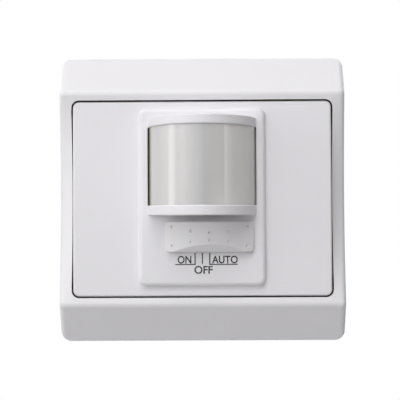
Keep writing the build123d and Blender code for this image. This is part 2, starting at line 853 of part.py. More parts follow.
# Front carrier: a tray on the ring with board posts and windows for the plate's clips.
with BuildPart() as front_carrier:
    with BuildSketch(at_height(ring_thickness)):
        RectangleRounded(carrier_width, carrier_height, carrier_corner_radius)
    extrude(amount=carrier_top - ring_thickness)
    with BuildSketch(at_height(carrier_floor_top)):
        RectangleRounded(
            carrier_width - 2 * carrier_wall,
            carrier_height - 2 * carrier_wall,
            carrier_corner_radius - carrier_wall / 2,
        )
    extrude(amount=carrier_top - carrier_floor_top, mode=Mode.SUBTRACT)
    with BuildSketch(at_height(carrier_floor_top)):
        with GridLocations(carrier_post_spacing_x, carrier_post_spacing_z, 2, 2):
            Circle(carrier_post_radius)
    extrude(amount=front_board_underside - carrier_floor_top)
    with BuildSketch(at_height(ring_thickness)):
        with Locations((0, link_z)):
            Rectangle(link_width + 2 * link_window_clearance, link_breadth + 2 * link_window_clearance)
        with Locations(housing_screw_places):
            Circle(housing_screw_radius + housing_screw_hole_clearance)
    extrude(amount=carrier_wall, mode=Mode.SUBTRACT)
    with BuildSketch(at_height(clip_foot_height - clip_clearance)):
        with GridLocations(clip_spacing, carrier_height, 2, 2):
            Rectangle(clip_width + 2 * clip_clearance, 2 * carrier_wall)
    extrude(amount=clip_hook_height + 2 * clip_clearance, mode=Mode.SUBTRACT)
front_carrier.part.label = "front_carrier"
export_step(front_carrier.part, "parts/front_carrier.step")

# Support ring: a steel plate with four slots for the box screws.
with BuildPart() as support_ring:
    with BuildSketch(at_height(0)):
        Rectangle(ring_size, ring_size)
        chamfer(vertices(), ring_corner_cut)
        fillet(vertices(), ring_corner_radius)
        Circle(ring_opening_radius, mode=Mode.SUBTRACT)
        with Locations((-box_screw_half, 0), (box_screw_half, 0)):
            SlotOverall(box_slot_length, box_slot_width, mode=Mode.SUBTRACT)
        with Locations((0, -box_screw_half), (0, box_screw_half)):
            SlotOverall(box_slot_length, box_slot_width, rotation=90, mode=Mode.SUBTRACT)
        with Locations(housing_screw_places):
            Circle(housing_screw_radius + housing_screw_hole_clearance, mode=Mode.SUBTRACT)
        with Locations(list(claw_places.values())):
            Circle(claw_thread_radius + thread_clearance, mode=Mode.SUBTRACT)
    extrude(amount=ring_thickness)
support_ring.part.label = "support_ring"
export_step(support_ring.part, "parts/support_ring.step")

# Housing screws: flat heads in the carrier, thread in the bosses of the rear housing.
with BuildPart() as housing_screws:
    with BuildSketch(at_height(carrier_floor_top)):
        with Locations(housing_screw_places):
            Circle(housing_head_radius)
    extrude(amount=housing_head_height)
    with BuildSketch(at_height(carrier_floor_top)):
        with Locations(housing_screw_places):
            Circle(housing_screw_radius)
    extrude(amount=-carrier_floor_top - housing_screw_depth)
    with BuildSketch(at_height(carrier_floor_top + housing_head_height)):
        with Locations(housing_screw_places):
            Rectangle(2 * housing_head_radius, screw_slot_width)
    extrude(amount=-screw_slot_depth, mode=Mode.SUBTRACT)
housing_screws.part.label = "housing_screws"
export_step(housing_screws.part, "parts/housing_screws.step")

# Spreading claws: each screw draws its claw forwards, towards the ring.
for side_name, (screw_x, screw_z) in claw_places.items():
    outward = 1 if screw_x > 0 else -1
    with BuildPart() as claw_screw:
        with BuildSketch(at_height(ring_thickness)):
            with Locations((screw_x, screw_z)):
                Circle(claw_head_radius)
        extrude(amount=claw_head_height)
        fillet(claw_screw.faces().sort_by(Axis.Y)[0].edges(), claw_head_height / 2)
        with BuildSketch(at_height(ring_thickness)):
            with Locations((screw_x, screw_z)):
                Circle(claw_thread_radius)
        extrude(amount=-ring_thickness - claw_screw_depth)
        with BuildSketch(at_height(ring_thickness + claw_head_height)):
            with Locations((screw_x, screw_z)):
                Rectangle(2 * claw_head_radius, screw_slot_width)
        extrude(amount=-screw_slot_depth, mode=Mode.SUBTRACT)
    claw_screw.part.label = f"claw_screw_{side_name}"
    export_step(claw_screw.part, f"parts/claw_screw_{side_name}.step")

    foot_inner = screw_x - outward * claw_inner_reach
    arm_outer = screw_x + outward * claw_outer_reach
    arm_inner = arm_outer - outward * claw_arm_sheet
    flare = outward * claw_tip_flare
    flare_depth = claw_tip_depth + claw_width / 2
    with BuildPart() as claw:
        with BuildSketch(Plane.XY.offset(screw_z - claw_width / 2)):
            with BuildLine():
                Polyline(
                    (foot_inner, claw_foot_depth + claw_sheet),
                    (foot_inner, claw_foot_depth),
                    (arm_inner, claw_foot_depth),
                    (arm_inner, flare_depth),
                    (arm_inner + flare, claw_tip_depth),
                    (arm_outer + flare, claw_tip_depth),
                    (arm_outer, flare_depth),
                    (arm_outer, claw_foot_depth + claw_sheet),
                    close=True,
                )
            make_face()
        extrude(amount=claw_width)
        with BuildSketch(at_depth(claw_foot_depth)):
            with Locations((screw_x, screw_z)):
                Circle(claw_thread_radius + thread_clearance)
        extrude(amount=-claw_sheet, mode=Mode.SUBTRACT)

        # Teeth along the front edge of the flared tip
        with BuildSketch(Plane.YZ.offset(arm_inner)):
            tooth_pitch = claw_width / claw_tooth_count
            for tooth in range(claw_tooth_count + 1):
                tooth_z = screw_z + (tooth - claw_tooth_count / 2) * tooth_pitch
                with Locations((claw_tip_depth, tooth_z)):
                    Polygon(
                        (-claw_tooth_depth, tooth_pitch / 2),
                        (-claw_tooth_depth, -tooth_pitch / 2),
                        (claw_tooth_depth, 0),
                        align=None,
                    )
        extrude(amount=flare * 2, mode=Mode.SUBTRACT)
    claw.part.label = f"claw_{side_name}"
    export_step(claw.part, f"parts/claw_{side_name}.step")

# Rear housing: the cup in the wall box, with a ledge for the power board.
with BuildPart() as rear_housing:
    with BuildSketch(at_height(0)):
        add(cup_outline(0))
    extrude(amount=-cup_depth)
    with BuildSketch(at_height(0)):
        add(cup_outline(cup_wall))
    extrude(amount=-cup_floor, mode=Mode.SUBTRACT)
    with BuildSketch(at_height(0)):
        add(cup_outline(cup_rim_wall))
    extrude(amount=-power_board_back, mode=Mode.SUBTRACT)
    with BuildSketch(at_height(0)):
        with Locations(housing_screw_places):
            Circle(housing_boss_radius)
    extrude(amount=-housing_boss_depth)
    with BuildSketch(at_height(0)):
        with Locations(housing_screw_places):
            Circle(housing_screw_radius + thread_clearance)
    extrude(amount=-housing_boss_depth, mode=Mode.SUBTRACT)
    with BuildSketch(at_depth(cup_depth)):
        with Locations([(terminal_x, terminal_z) for terminal_x in terminal_xs]):
            Circle(terminal_head_hole_radius)
    extrude(amount=cup_wall, mode=Mode.SUBTRACT)
    with BuildSketch(Plane.XY.offset(-cup_bottom_flat)):
        with Locations([(terminal_x, wire_depth) for terminal_x in terminal_xs]):
            Circle(wire_hole_radius)
    extrude(amount=cup_wall, mode=Mode.SUBTRACT)
rear_housing.part.label = "rear_housing"
export_step(rear_housing.part, "parts/rear_housing.step")

# Power board on the ledge of the rear housing.
with BuildPart() as power_board:
    with BuildSketch(at_depth(power_board_depth)):
        add(cup_outline(cup_rim_wall + board_side_clearance))
        with Locations(housing_screw_places):
            Circle(housing_boss_radius + board_side_clearance, mode=Mode.SUBTRACT)
        with Locations([(link_x, link_z) for link_x in link_xs]):
            Circle(link_pin_radius + pin_hole_clearance, mode=Mode.SUBTRACT)
    extrude(amount=-power_board_thickness)
power_board.part.label = "power_board"
export_step(power_board.part, "parts/power_board.step")

# Pin strip between the two boards.
with BuildPart() as link_header:
    with BuildSketch(at_height(front_board_underside)):
        with Locations((0, link_z)):
            Rectangle(link_width, link_breadth)
        with Locations([(link_x, link_z) for link_x in link_xs]):
            Circle(link_pin_radius + thread_clearance, mode=Mode.SUBTRACT)
    extrude(amount=-front_board_underside - power_board_depth)
link_header.part.label = "link_header"
export_step(link_header.part, "parts/link_header.step")

with BuildPart() as link_pins:
    with BuildSketch(at_height(front_board_top + solder_length)):
        with Locations([(link_x, link_z) for link_x in link_xs]):
            Circle(link_pin_radius)
    extrude(amount=-front_board_top - power_board_back - 2 * solder_length)
link_pins.part.label = "link_pins"
export_step(link_pins.part, "parts/link_pins.step")

# Components on the power board
with BuildPart() as relay:
    with BuildSketch(at_depth(power_board_back)):
        with Locations(relay_centre):
            Rectangle(relay_size[0], relay_size[1])
    extrude(amount=-relay_size[2])
    fillet(relay.edges().filter_by(Axis.Y), relay_edge)
    chamfer(relay.faces().sort_by(Axis.Y)[-1].edges(), relay_edge / 2)
relay.part.label = "relay"
export_step(relay.part, "parts/relay.step")

with BuildPart() as film_capacitor:
    with BuildSketch(at_depth(power_board_back)):
        with Locations(film_capacitor_centre):
            Rectangle(film_capacitor_size[0], film_capacitor_size[1])
    extrude(amount=-film_capacitor_size[2])
    fillet(film_capacitor.edges().filter_by(Axis.Y), film_capacitor_edge)
film_capacitor.part.label = "film_capacitor"
export_step(film_capacitor.part, "parts/film_capacitor.step")

with BuildPart() as storage_capacitor:
    with BuildSketch(at_depth(power_board_back)):
        with Locations(storage_capacitor_centre):
            Circle(storage_capacitor_radius)
    extrude(amount=-storage_capacitor_length)
    fillet(storage_capacitor.faces().sort_by(Axis.Y)[-1].edges(), storage_capacitor_rounding)
    with BuildSketch(at_depth(power_board_back + storage_capacitor_groove_depth)):
        with Locations(storage_capacitor_centre):
            Circle(2 * storage_capacitor_radius)
            Circle(storage_capacitor_radius - storage_capacitor_groove, mode=Mode.SUBTRACT)
    extrude(amount=-storage_capacitor_groove, mode=Mode.SUBTRACT)
storage_capacitor.part.label = "storage_capacitor"
export_step(storage_capacitor.part, "parts/storage_capacitor.step")

with BuildPart() as varistor:
    with BuildSketch(Plane.XY.offset(varistor_centre[1] - varistor_thickness / 2)):
        with Locations((varistor_centre[0], power_board_back + varistor_radius)):
            Circle(varistor_radius)
    extrude(amount=varistor_thickness)
    fillet(varistor.edges().filter_by(GeomType.CIRCLE), varistor_rounding)
varistor.part.label = "varistor"
export_step(varistor.part, "parts/varistor.step")

with BuildPart() as fuse:
    with BuildSketch(Plane.YZ.offset(fuse_centre[0] - fuse_length / 2)):
        with Locations((power_board_back + fuse_radius, fuse_centre[1])):
            Circle(fuse_radius)
    extrude(amount=fuse_length)
    with BuildSketch(Plane.YZ.offset(fuse_centre[0] - fuse_length / 2 + fuse_cap_length)):
        with Locations((power_board_back + fuse_radius, fuse_centre[1])):
            Circle(2 * fuse_radius)
            Circle(fuse_radius - fuse_body_step, mode=Mode.SUBTRACT)
    extrude(amount=fuse_length - 2 * fuse_cap_length, mode=Mode.SUBTRACT)
fuse.part.label = "fuse"
export_step(fuse.part, "parts/fuse.step")

with BuildPart() as bridge_rectifier:
    with BuildSketch(at_depth(power_board_back)):
        with Locations(rectifier_centre):
            Rectangle(rectifier_size[0], rectifier_size[1])
    extrude(amount=-rectifier_size[2])
    chamfer(bridge_rectifier.faces().sort_by(Axis.Y)[-1].edges(), rectifier_edge)
bridge_rectifier.part.label = "bridge_rectifier"
export_step(bridge_rectifier.part, "parts/bridge_rectifier.step")

# Terminal block: open towards the board for the cages, with a shoulder for each screw head.
block_bottom = cup_wall - cup_bottom_flat
pocket_places = [(terminal_x, terminal_z) for terminal_x in terminal_xs]
with BuildPart() as terminal_block:
    with BuildSketch(at_depth(terminal_front)):
        with Locations((0, block_bottom)):
            Rectangle(terminal_block_width, terminal_block_height, align=(Align.CENTER, Align.MIN))
    extrude(amount=-terminal_block_depth)
    with BuildSketch(at_depth(terminal_front)):
        with Locations(pocket_places):
            Rectangle(terminal_pocket_width, terminal_pocket_height)
    extrude(amount=terminal_front - terminal_pocket_back, mode=Mode.SUBTRACT)
    with BuildSketch(at_depth(terminal_front)):
        with Locations(pocket_places):
            Circle(terminal_thread_radius + thread_clearance)
    extrude(amount=-terminal_block_depth, mode=Mode.SUBTRACT)
    with BuildSketch(at_depth(cup_floor)):
        with Locations(pocket_places):
            Circle(terminal_head_hole_radius)
    extrude(amount=cup_floor - terminal_pocket_back - terminal_shoulder, mode=Mode.SUBTRACT)
    with BuildSketch(Plane.XY.offset(block_bottom)):
        with Locations([(terminal_x, wire_depth) for terminal_x in terminal_xs]):
            Circle(wire_hole_radius)
    extrude(amount=terminal_block_height / 2, mode=Mode.SUBTRACT)
    with BuildSketch(at_depth(terminal_front)):
        with Locations([(terminal_x, block_bottom + terminal_block_height) for terminal_x in terminal_xs]):
            Rectangle(bar_width + 2 * bar_clearance, terminal_block_height / 2, align=(Align.CENTER, Align.MAX))
    extrude(amount=terminal_front - bar_back - bar_clearance, mode=Mode.SUBTRACT)
terminal_block.part.label = "terminal_block"
export_step(terminal_block.part, "parts/terminal_block.step")

# Contact bars: each lies in its cage and turns down to the power board.
bar_bottom = terminal_z - cage_height / 2
bar_top = block_bottom + terminal_block_height + bar_overrun + bar_thickness
with BuildPart() as terminal_bars:
    for terminal_x in terminal_xs:
        with BuildSketch(Plane.YZ.offset(terminal_x - bar_width / 2)):
            with BuildLine():
                Polyline(
                    (bar_back, bar_bottom),
                    (bar_back, bar_top),
                    (power_board_back, bar_top),
                    (power_board_back, bar_top - bar_thickness),
                    (bar_back - bar_thickness, bar_top - bar_thickness),
                    (bar_back - bar_thickness, bar_bottom),
                    close=True,
                )
            make_face()
        extrude(amount=bar_width)
terminal_bars.part.label = "terminal_bars"
export_step(terminal_bars.part, "parts/terminal_bars.step")

# Each terminal screw turns in the block and lifts its cage towards its head.
for number, terminal_x in enumerate(terminal_xs, start=1):
    head_front = terminal_pocket_back + terminal_shoulder + thread_clearance
    with BuildPart() as terminal_screw:
        with BuildSketch(at_depth(head_front)):
            with Locations((terminal_x, terminal_z)):
                Circle(terminal_head_radius)
        extrude(amount=-terminal_head_height)
        with BuildSketch(at_depth(head_front + terminal_head_height)):
            with Locations((terminal_x, terminal_z)):
                Rectangle(2 * terminal_head_radius, screw_slot_width)
        extrude(amount=screw_slot_depth, mode=Mode.SUBTRACT)
        with BuildSketch(at_depth(head_front)):
            with Locations((terminal_x, terminal_z)):
                Circle(terminal_thread_radius)
        extrude(amount=head_front - bar_back - bar_clearance)
    terminal_screw.part.label = f"terminal_screw_{number}"
    export_step(terminal_screw.part, f"parts/terminal_screw_{number}.step")

    with BuildPart() as terminal_cage:
        with BuildSketch(Plane.XY.offset(terminal_z - cage_height / 2)):
            with Locations((terminal_x, cage_front)):
                Rectangle(cage_width, cage_depth, align=(Align.CENTER, Align.MIN))
            with Locations((terminal_x, cage_front + cage_wall)):
                Rectangle(
                    cage_width - 2 * cage_wall,
                    cage_opening,
                    align=(Align.CENTER, Align.MIN),
                    mode=Mode.SUBTRACT,
                )
        extrude(amount=cage_height)
        with BuildSketch(at_depth(cage_thread_front)):
            with Locations((terminal_x, terminal_z)):
                Circle(terminal_thread_radius + thread_clearance)
        extrude(amount=-cage_thread_wall, mode=Mode.SUBTRACT)
    terminal_cage.part.label = f"terminal_cage_{number}"
    export_step(terminal_cage.part, f"parts/terminal_cage_{number}.step")
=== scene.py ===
import math

import bpy
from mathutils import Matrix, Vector


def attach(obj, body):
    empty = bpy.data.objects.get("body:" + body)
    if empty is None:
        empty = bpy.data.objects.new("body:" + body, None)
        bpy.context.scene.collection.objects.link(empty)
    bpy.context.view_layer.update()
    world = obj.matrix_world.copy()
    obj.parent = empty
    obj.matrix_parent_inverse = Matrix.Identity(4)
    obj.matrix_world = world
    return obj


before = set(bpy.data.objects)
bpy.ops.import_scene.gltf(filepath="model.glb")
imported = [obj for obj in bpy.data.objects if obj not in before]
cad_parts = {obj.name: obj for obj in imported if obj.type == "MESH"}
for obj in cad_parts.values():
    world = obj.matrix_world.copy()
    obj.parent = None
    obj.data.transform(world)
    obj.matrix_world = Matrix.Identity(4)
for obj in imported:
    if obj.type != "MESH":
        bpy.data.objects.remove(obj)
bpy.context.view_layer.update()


# The camera: it stands 240 mm in front of the wall, a little right of the middle and lower, and
# looks a little up and left, as the photograph was taken.
camera_place = (0.0014, -0.2400, -0.0052)
camera_rise = 1.19
camera_roll = 0.3
camera_turn = 0.5
camera_data = bpy.data.cameras.new("room_camera")
camera_data.sensor_width = 36.0
camera_data.lens = 75.85
camera = bpy.data.objects.new("room_camera", camera_data)
bpy.context.scene.collection.objects.link(camera)
camera.location = camera_place
camera.rotation_euler = (math.radians(90 + camera_rise), math.radians(camera_roll), math.radians(camera_turn))
bpy.context.scene.camera = camera
bpy.context.scene.view_settings.view_transform = "Standard"


# The floor: a plain white sheet below the switch. It shows white to the camera, in gloss and
# through clear plastic, and a quarter of it stays paper, which keeps the shadow of the switch.
class Wire:
    """A socket of a material, so that a pattern reads as a sum."""

    def __init__(self, finish, socket):
        self.finish = finish
        self.socket = socket

    def sum_with(self, operation, first, second):
        return self.finish.node("ShaderNodeMath", {"operation": operation}, {0: first, 1: second})

    def __add__(self, other):
        return self.sum_with("ADD", self, other)

    def __radd__(self, other):
        return self.sum_with("ADD", other, self)

    def __sub__(self, other):
        return self.sum_with("SUBTRACT", self, other)

    def __rsub__(self, other):
        return self.sum_with("SUBTRACT", other, self)

    def __mul__(self, other):
        return self.sum_with("MULTIPLY", self, other)

    def __rmul__(self, other):
        return self.sum_with("MULTIPLY", other, self)


class Finish:
    """The finish of a surface: a Principled shader and the nodes that feed it."""

    def __init__(self, name):
        self.material = bpy.data.materials.new(name)
        self.material.use_nodes = True
        self.tree = self.material.node_tree
        self.tree.nodes.clear()
        self.output = self.tree.nodes.new("ShaderNodeOutputMaterial")

    def node(self, kind, settings=None, sockets=None, out=0):
        made = self.tree.nodes.new(kind)
        for key, value in (settings or {}).items():
            if key == "stops":
                ramp = made.color_ramp
                for place, colour in value[len(ramp.elements):]:
                    ramp.elements.new(place)
                for element, (place, colour) in zip(ramp.elements, value):
                    element.position = place
                    element.color = colour
            else:
                setattr(made, key, value)
        for key, value in (sockets or {}).items():
            if isinstance(value, Wire):
                self.tree.links.new(value.socket, made.inputs[key])
            else:
                made.inputs[key].default_value = value
        return Wire(self, made.outputs[out])

    def place(self):
        return self.node("ShaderNodeTexCoord", out="Object")

    def grain(self, scale, detail=2.0, rough=0.5):
        return self.node("ShaderNodeTexNoise", {}, {
            "Vector": self.place(), "Scale": scale, "Detail": detail, "Roughness": rough})

    def tint(self, share, first, second):
        return self.node("ShaderNodeMix", {"data_type": "RGBA"}, {"Factor": share, 6: first, 7: second}, out=2)

    def bump(self, height, strength, distance):
        return self.node("ShaderNodeBump", {}, {"Height": height, "Strength": strength, "Distance": distance})

    def near(self, value, middle, reach):
        """One where a value lies within a reach of the middle, nought elsewhere."""
        return self.node("ShaderNodeMath", {"operation": "COMPARE"}, {0: value, 1: middle, 2: reach})

    def surface(self, **sockets):
        named = {key.replace("_", " "): value for key, value in sockets.items()}
        shader = self.node("ShaderNodeBsdfPrincipled", {}, named)
        self.tree.links.new(shader.socket, self.output.inputs["Surface"])
        return self.material


sheet_size = 1.6
sheet_drop = 0.30
white_part = 0.75
sheet_finish = Finish("white_sheet")
fibre = sheet_finish.grain(60.0)
paper = sheet_finish.node("ShaderNodeBsdfDiffuse", {}, {
    "Color": sheet_finish.tint(fibre, (0.72, 0.72, 0.72, 1.0), (0.69, 0.69, 0.69, 1.0))})
seen_white = sheet_finish.node("ShaderNodeEmission", {}, {"Color": (1.0, 1.0, 1.0, 1.0), "Strength": 1.0})
straight = sheet_finish.node("ShaderNodeLightPath", out="Is Camera Ray")
mirrored = sheet_finish.node("ShaderNodeLightPath", out="Is Glossy Ray")
let_through = sheet_finish.node("ShaderNodeLightPath", out="Is Transmission Ray")
white_share = (straight + mirrored + let_through) * white_part
shown = sheet_finish.node("ShaderNodeMixShader", {}, {0: white_share, 1: paper, 2: seen_white})
sheet_finish.tree.links.new(shown.socket, sheet_finish.output.inputs["Surface"])
bpy.ops.object.select_all(action="DESELECT")
bpy.ops.mesh.primitive_plane_add(size=sheet_size, location=(0.0, 0.0, -sheet_drop))
floor = bpy.context.active_object
floor.name = "white_floor"
floor.data.materials.append(sheet_finish.material)


# The room: dim and slightly warm as light, but white to the camera, in gloss and through clear
# plastic.
world = bpy.data.worlds.new("pale_room")
world.use_nodes = True
room = world.node_tree
room.nodes.clear()
room_out = room.nodes.new("ShaderNodeOutputWorld")
path = room.nodes.new("ShaderNodeLightPath")
seen_share = path.outputs["Is Camera Ray"]
for other_ray in ("Is Transmission Ray", "Is Glossy Ray"):
    either = room.nodes.new("ShaderNodeMath")
    either.operation = "MAXIMUM"
    room.links.new(seen_share, either.inputs[0])
    room.links.new(path.outputs[other_ray], either.inputs[1])
    seen_share = either.outputs[0]
dim = room.nodes.new("ShaderNodeBackground")
dim.inputs["Color"].default_value = (1.0, 0.93, 0.87, 1.0)
dim.inputs["Strength"].default_value = 0.06
bright = room.nodes.new("ShaderNodeBackground")
bright.inputs["Color"].default_value = (1.0, 1.0, 1.0, 1.0)
bright.inputs["Strength"].default_value = 1.0
room_mix = room.nodes.new("ShaderNodeMixShader")
room.links.new(seen_share, room_mix.inputs[0])
room.links.new(dim.outputs[0], room_mix.inputs[1])
room.links.new(bright.outputs[0], room_mix.inputs[2])
room.links.new(room_mix.outputs[0], room_out.inputs["Surface"])
bpy.context.scene.world = world


# The lamps: one large soft box high on the left carries most of the light, three smaller ones
# fill the top and the left side, and two stand behind the wall plane for the housing.
def soft_lamp(name, place, size, power, colour=(1.0, 1.0, 1.0)):
    """A square soft box at a place, turned towards the middle of the switch."""
    data = bpy.data.lights.new(name, "AREA")
    data.shape = "RECTANGLE"
    data.size = size
    data.size_y = size
    data.energy = power
    data.color = colour
    lamp = bpy.data.objects.new(name, data)
    bpy.context.scene.collection.objects.link(lamp)
    lamp.location = place
    lamp.rotation_euler = (-Vector(place)).to_track_quat("-Z", "Y").to_euler()


soft_lamp("front_box", (-0.364, -0.901, 0.516), 1.2, 6.1, (0.97, 0.97, 1.0))
soft_lamp("top_box", (0.0, -0.4, 0.693), 0.4, 2.2)
soft_lamp("left_box", (-0.568, -0.397, 0.4), 0.8, 1.9)
soft_lamp("side_box", (-0.761, -0.204, 0.139), 0.4, 0.5)
soft_lamp("back_box", (0.369, 0.638, 0.516), 0.6, 3.0)
soft_lamp("back_left_box", (-0.544, 0.648, 0.308), 0.6, 2.0)


# Rear housing: the off-white cup that goes into the wall box, moulded in one piece. Its surface is
# rough from the spark-cut mould, with four round marks where pins pushed it out.
def dress(material, *nodes):
    """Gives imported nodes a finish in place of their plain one."""
    for name in nodes:
        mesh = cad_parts[name].data
        mesh.materials.clear()
        mesh.materials.append(material)


pin_radius = 0.0024
pin_rim = 0.0002
cup = Finish("housing_plastic")
cup_cloud = cup.grain(45.0, 3.0)
cup_sparks = cup.grain(800.0)
pin_marks = 0.0
for pin_x in (-0.013, 0.013):
    for pin_z in (-0.004, 0.014):
        flat_place = cup.node("ShaderNodeVectorMath", {"operation": "MULTIPLY"}, {
            0: cup.place(), 1: (1.0, 0.0, 1.0)})
        away = cup.node("ShaderNodeVectorMath", {"operation": "DISTANCE"}, {
            0: flat_place, 1: (pin_x, 0.0, pin_z)}, out="Value")
        pin_marks = pin_marks + cup.near(away, pin_radius, pin_rim)
cup_white = cup.surface(
    Base_Color=cup.tint(0.5 * cup_cloud + 0.25 * pin_marks, (0.66, 0.655, 0.62, 1.0), (0.55, 0.545, 0.51, 1.0)),
    Roughness=0.42 + 0.08 * cup_sparks,
    Normal=cup.bump(cup_sparks - 4.0 * pin_marks, 0.4, 0.00003),
    IOR=1.5,
)
dress(cup_white, "rear_housing")


# Terminal block: a dark grey moulding in the foot of the cup, with three wire holes from below and
# three screw holes from behind.
def moulded(name, colour, shade, rough, grain_scale=900.0, coat=0.0, painted_joint_shade=None):
    """Moulded plastic: fine spark texture and faint flow clouds, with painted shade, near black, on the walls
    of a joint where one is given.
    """
    finish = Finish(name)
    cloud = finish.grain(38.0, 3.0)
    fine = finish.grain(grain_scale)
    shown_colour = finish.tint(cloud, (*colour, 1.0), (*shade, 1.0))
    if painted_joint_shade:
        # Painted shade: the walls of a joint are darkened to near black.
        shown_colour = finish.tint(painted_joint_shade(finish), shown_colour, (0.06, 0.058, 0.055, 1.0))
    return finish.surface(
        Base_Color=shown_colour,
        Roughness=rough - 0.03 + 0.06 * fine,
        Normal=finish.bump(fine, 0.25, 0.000012),
        Coat_Weight=coat,
        Coat_Roughness=0.12,
        IOR=1.5,
    )


block_grey = moulded("terminal_plastic", (0.055, 0.062, 0.075), (0.07, 0.078, 0.09), 0.46, 1000.0)
dress(block_grey, "terminal_block")


# Terminal cages and bars: stamped brass, dulled by handling, pushed into the block.
def plated(name, colour, shade, rough, streak=420.0):
    """Drawn or plated metal: streaks from the tool and cloudy plating."""
    finish = Finish(name)
    stretched = finish.node("ShaderNodeMapping", {}, {"Vector": finish.place(), "Scale": (1.0, 1.0, 0.08)})
    lines = finish.node("ShaderNodeTexNoise", {}, {"Vector": stretched, "Scale": streak, "Detail": 3.0})
    cloud = finish.grain(120.0, 3.0)
    return finish.surface(
        Base_Color=finish.tint(cloud, (*colour, 1.0), (*shade, 1.0)),
        Metallic=1.0,
        Roughness=rough - 0.06 + 0.12 * lines,
        Normal=finish.bump(lines, 0.2, 0.00001),
    )


stamped_brass = plated("spring_brass", (0.66, 0.46, 0.18), (0.52, 0.34, 0.12), 0.3)
dress(stamped_brass, "terminal_bars", "terminal_cage_1", "terminal_cage_2", "terminal_cage_3")


# Terminal screws: turned from steel and bright zinc-plated, one in each cage, worked from behind.
turned_steel = plated("turned_steel", (0.56, 0.56, 0.55), (0.46, 0.46, 0.45), 0.30, 700.0)
dress(turned_steel, "terminal_screw_1", "terminal_screw_2", "terminal_screw_3")


# Circuit boards: green lacquer over copper tracks that show as paler lines. The power board lies in
# the cup, and the sensor board in the tray in front of the ring.
board = Finish("board_laminate")
board_face = board.node("ShaderNodeMapping", {}, {
    "Vector": board.place(), "Rotation": (math.radians(90), 0.0, 0.0)})
tracks = board.node("ShaderNodeTexBrick", {"offset": 0.35}, {
    "Vector": board_face, "Scale": 260.0, "Mortar Size": 0.09, "Color1": (0.0, 0.0, 0.0, 1.0),
    "Color2": (0.0, 0.0, 0.0, 1.0), "Mortar": (1.0, 1.0, 1.0, 1.0)})
weave = board.grain(500.0)
board_green = board.surface(
    Base_Color=board.tint(tracks, (0.012, 0.085, 0.035, 1.0), (0.03, 0.15, 0.06, 1.0)),
    Roughness=0.28 + 0.1 * weave,
    Normal=board.bump(tracks, 0.3, 0.00003),
    Coat_Weight=0.5,
)
dress(board_green, "power_board", "sensor_board")


# What stands on the power board: relay, capacitors, varistor, fuse and rectifier in the colours
# they usually have, moulded, wrapped or dipped, and soldered to the board.
dress(moulded("relay_plastic", (0.02, 0.055, 0.17), (0.025, 0.065, 0.2), 0.36, 1200.0), "relay")
dress(moulded("capacitor_plastic", (0.60, 0.34, 0.02), (0.54, 0.30, 0.02), 0.38, 1200.0), "film_capacitor")
dress(moulded("capacitor_sleeve", (0.015, 0.015, 0.02), (0.025, 0.025, 0.03), 0.26, coat=0.4),
      "storage_capacitor")
dress(moulded("varistor_coating", (0.03, 0.09, 0.36), (0.025, 0.075, 0.3), 0.25, 250.0, coat=0.5), "varistor")
dress(moulded("fuse_ceramic", (0.62, 0.59, 0.50), (0.56, 0.53, 0.44), 0.35, 1000.0), "fuse")
black_mould = moulded("black_plastic", (0.030, 0.030, 0.032), (0.045, 0.045, 0.047), 0.5, 1400.0)
dress(black_mould, "bridge_rectifier")


# Link between the boards: a black header with tinned pins, soldered into both.
tinned = plated("contact_metal", (0.70, 0.69, 0.66), (0.60, 0.59, 0.56), 0.32)
dress(black_mould, "link_header")
dress(tinned, "link_pins")


# Support ring and claws: stamped steel with a bright zinc coat that has set in flat crystals, each
# with its own shade and gloss. The ring is screwed to the wall box, or the claws hold it there.
zinc = Finish("zinc_steel")
crystals = zinc.node("ShaderNodeTexVoronoi", {"feature": "F1"}, {
    "Vector": zinc.place(), "Scale": 420.0}, out="Color")
crystal_shade = zinc.node("ShaderNodeSeparateColor", {}, {"Color": crystals}, out="Red")
crystal_gloss = zinc.node("ShaderNodeSeparateColor", {}, {"Color": crystals}, out="Green")
stains = zinc.grain(60.0, 4.0)
zinc_coat = zinc.surface(
    Base_Color=zinc.tint(
        0.55 * crystal_shade + 0.35 * stains, (0.52, 0.53, 0.545, 1.0), (0.36, 0.365, 0.37, 1.0)),
    Metallic=1.0,
    Roughness=0.34 + 0.16 * crystal_gloss,
    Normal=zinc.bump(crystal_shade, 0.12, 0.00002),
)
dress(zinc_coat, "support_ring", "claw_left", "claw_right")


